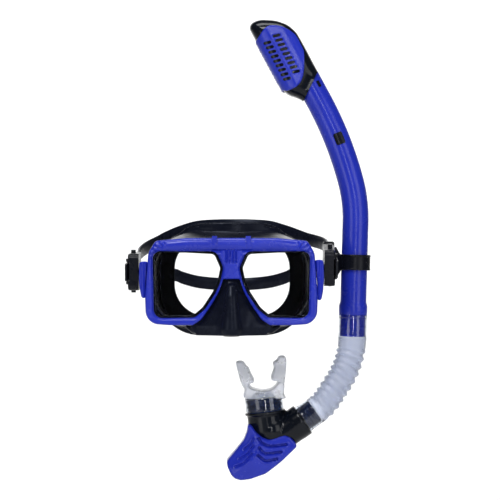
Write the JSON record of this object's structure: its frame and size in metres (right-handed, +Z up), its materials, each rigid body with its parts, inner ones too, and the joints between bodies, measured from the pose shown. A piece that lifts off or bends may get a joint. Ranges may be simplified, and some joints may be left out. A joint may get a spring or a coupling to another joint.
{
  "type": "snorkel mask",
  "caption": "Two-window diving mask with a split head strap and a dry-top snorkel held beside it by a tilting keeper.",
  "frame": {"origin": "middle of the face seal, where the skirt meets the face between the eyes", "axes": "+X to the wearer's left, +Y from the lenses to the face, +Z up"},
  "size_m": [0.2316, 0.2233, 0.4393],
  "materials": {
    "blue_gloss": "glossy",
    "black_gloss": "glossy",
    "black_plastic": "satin",
    "grey_plastic": "satin",
    "steel": "brushed",
    "lens_glass": "polished",
    "black_silicone": "satin",
    "clear_silicone": "translucent",
    "float_foam": "satin"
  },
  "bodies": {
    "mask": {"front_bezel": "blue_gloss", "rear_frame": "black_plastic", "lens_left": "lens_glass", "lens_right": "lens_glass", "skirt": "black_silicone", "frame_clip_left": "blue_gloss", "frame_clip_right": "blue_gloss", "buckle_bracket_left": "blue_gloss", "buckle_bracket_right": "blue_gloss", "buckle_pin_left": "grey_plastic", "buckle_pin_right": "grey_plastic", "strap": "black_silicone", "keeper_clip": "black_plastic", "keeper_pin": "grey_plastic"},
    "buckle_left": {"buckle_body_left": "black_plastic", "lever_pin_left": "grey_plastic", "strap_end_left": "black_silicone"},
    "buckle_right": {"buckle_body_right": "black_plastic", "lever_pin_right": "grey_plastic", "strap_end_right": "black_silicone"},
    "roller_left": {"strap_roller_left": "grey_plastic"},
    "roller_right": {"strap_roller_right": "grey_plastic"},
    "lever_left": {"release_lever_left": "black_plastic"},
    "lever_right": {"release_lever_right": "black_plastic"},
    "keeper": {"keeper_ring": "black_silicone"},
    "barrel": {"barrel": "blue_gloss", "dry_top_housing": "black_gloss", "dry_top_cover": "blue_gloss", "valve_seat": "black_gloss", "float_guide": "black_gloss", "flap_pin": "steel"},
    "float": {"float": "float_foam"},
    "flap": {"valve_flap": "black_gloss", "flap_seal": "black_silicone"},
    "hose": {"flex_hose": "clear_silicone"},
    "elbow": {"elbow": "black_gloss", "mouthpiece": "clear_silicone", "purge_cap": "blue_gloss", "purge_seat": "black_gloss"},
    "purge_valve": {"purge_valve": "black_silicone"}
  },
  "joints": [
    {"name": "buckle_left_swing", "type": "hinge", "parent": "mask", "child": "buckle_left", "pos_m": [0.086, -0.034, 0.015], "axis": [1, 0, 0], "range_deg": [-14, 14]},
    {"name": "roller_left_spin", "type": "hinge", "parent": "buckle_left", "child": "roller_left", "pos_m": [0.0919, -0.02222, 0.01729], "axis": [0, -0.1908, 0.9816], "continuous": true},
    {"name": "lever_left_press", "type": "hinge", "parent": "buckle_left", "child": "lever_left", "pos_m": [0.0966, -0.02811, 0.01614], "axis": [0, -0.1908, 0.9816], "range_deg": [-7, 0], "stiffness_Nm_per_rad": 0.05, "springref_deg": 2.86},
    {"name": "buckle_right_swing", "type": "hinge", "parent": "mask", "child": "buckle_right", "pos_m": [-0.086, -0.034, 0.011], "axis": [-1, 0, 0], "range_deg": [-14, 14]},
    {"name": "roller_right_spin", "type": "hinge", "parent": "buckle_right", "child": "roller_right", "pos_m": [-0.0919, -0.02202, 0.01163], "axis": [0, 0.0523, -0.9986], "continuous": true},
    {"name": "lever_right_press", "type": "hinge", "parent": "buckle_right", "child": "lever_right", "pos_m": [-0.0966, -0.02801, 0.01131], "axis": [0, 0.0523, -0.9986], "range_deg": [-7, 0], "stiffness_Nm_per_rad": 0.05, "springref_deg": 2.86},
    {"name": "keeper_tilt", "type": "hinge", "parent": "mask", "child": "keeper", "pos_m": [0.0976, 0.014, 0.0195], "axis": [1, 0, 0], "range_deg": [-25, 25]},
    {"name": "barrel_turn", "type": "hinge", "parent": "keeper", "child": "barrel", "pos_m": [0.1172, 0.014, 0.0195], "axis": [0.0279, 0, 0.9996], "continuous": true},
    {"name": "hose_twist", "type": "hinge", "parent": "barrel", "child": "hose", "pos_m": [0.1158, 0.014, -0.03048], "axis": [0.0279, 0, 0.9996], "continuous": true},
    {"name": "hose_bend", "type": "hinge", "parent": "hose", "child": "elbow", "pos_m": [0.1035, 0.014, -0.0885], "axis": [0, 1, 0], "range_deg": [-15, 15], "stiffness_Nm_per_rad": 1.2, "deforming": ["flex_hose"]},
    {"name": "float_slide", "type": "slide", "parent": "barrel", "child": "float", "axis": [-0.4772, 0, 0.8788], "range_m": [0, 0.006]},
    {"name": "flap_close", "type": "hinge", "parent": "barrel", "child": "flap", "pos_m": [0.04627, 0.014, 0.21439], "axis": [0, 1, 0], "range_deg": [0, 28]},
    {"name": "purge_lift", "type": "slide", "parent": "elbow", "child": "purge_valve", "axis": [-0.3891, 0, -0.9212], "range_m": [0, 0.002], "stiffness_N_per_m": 30, "springref_m": -0.001}
  ],
  "couplings": [
    {"joint": "flap_close", "follows": "float_slide", "rad_per_m": 81.439}
  ]
}
